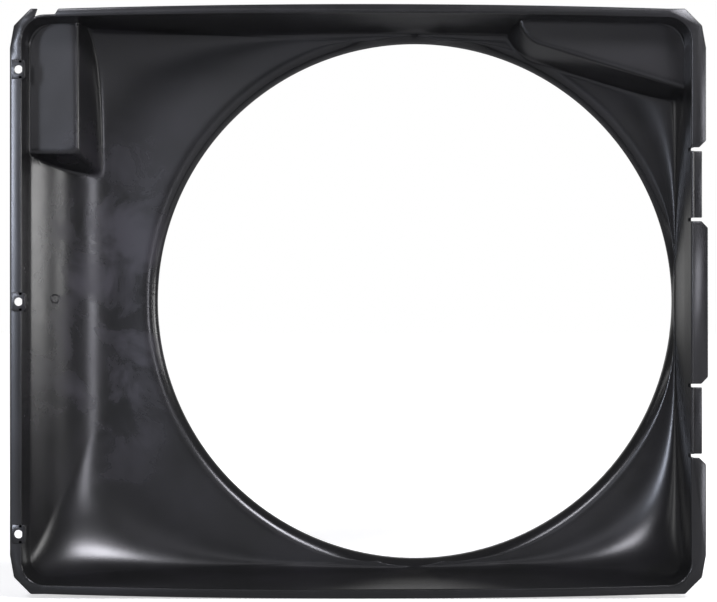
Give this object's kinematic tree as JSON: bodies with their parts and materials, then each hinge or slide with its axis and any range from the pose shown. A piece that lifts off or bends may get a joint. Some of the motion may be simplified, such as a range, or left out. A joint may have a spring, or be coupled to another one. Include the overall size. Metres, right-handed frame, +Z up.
{
  "type": "radiator fan shroud",
  "caption": "One-piece moulded plastic shroud: a rectangular tray with an off-centre round fan opening, screw holes along one side and clip tabs along the other.",
  "frame": {"origin": "on the fan axis, half way along the straight bore of the collar round the fan opening", "axes": "+X to the right and +Z up as seen from the radiator, with the shroud upright as in the vehicle; +Y along the fan axis from the radiator towards the fan"},
  "size_m": [0.6606, 0.118, 0.5623],
  "materials": {
    "shroud_plastic": "black moulded polypropylene, semi-matt"
  },
  "bodies": {
    "root": {"screw_flange": "shroud_plastic", "screw_bosses": "shroud_plastic", "top_flange": "shroud_plastic", "bottom_flange": "shroud_plastic", "upper_right_flange": "shroud_plastic", "middle_right_tab": "shroud_plastic", "lower_right_flange": "shroud_plastic", "upper_tongue": "shroud_plastic", "lower_tongue": "shroud_plastic", "left_wall": "shroud_plastic", "top_wall": "shroud_plastic", "right_wall": "shroud_plastic", "bottom_wall": "shroud_plastic", "left_funnel": "shroud_plastic", "top_funnel": "shroud_plastic", "right_funnel": "shroud_plastic", "bottom_funnel": "shroud_plastic", "fan_collar": "shroud_plastic", "upper_left_pocket": "shroud_plastic", "upper_right_pocket": "shroud_plastic"}
  },
  "joints": []
}
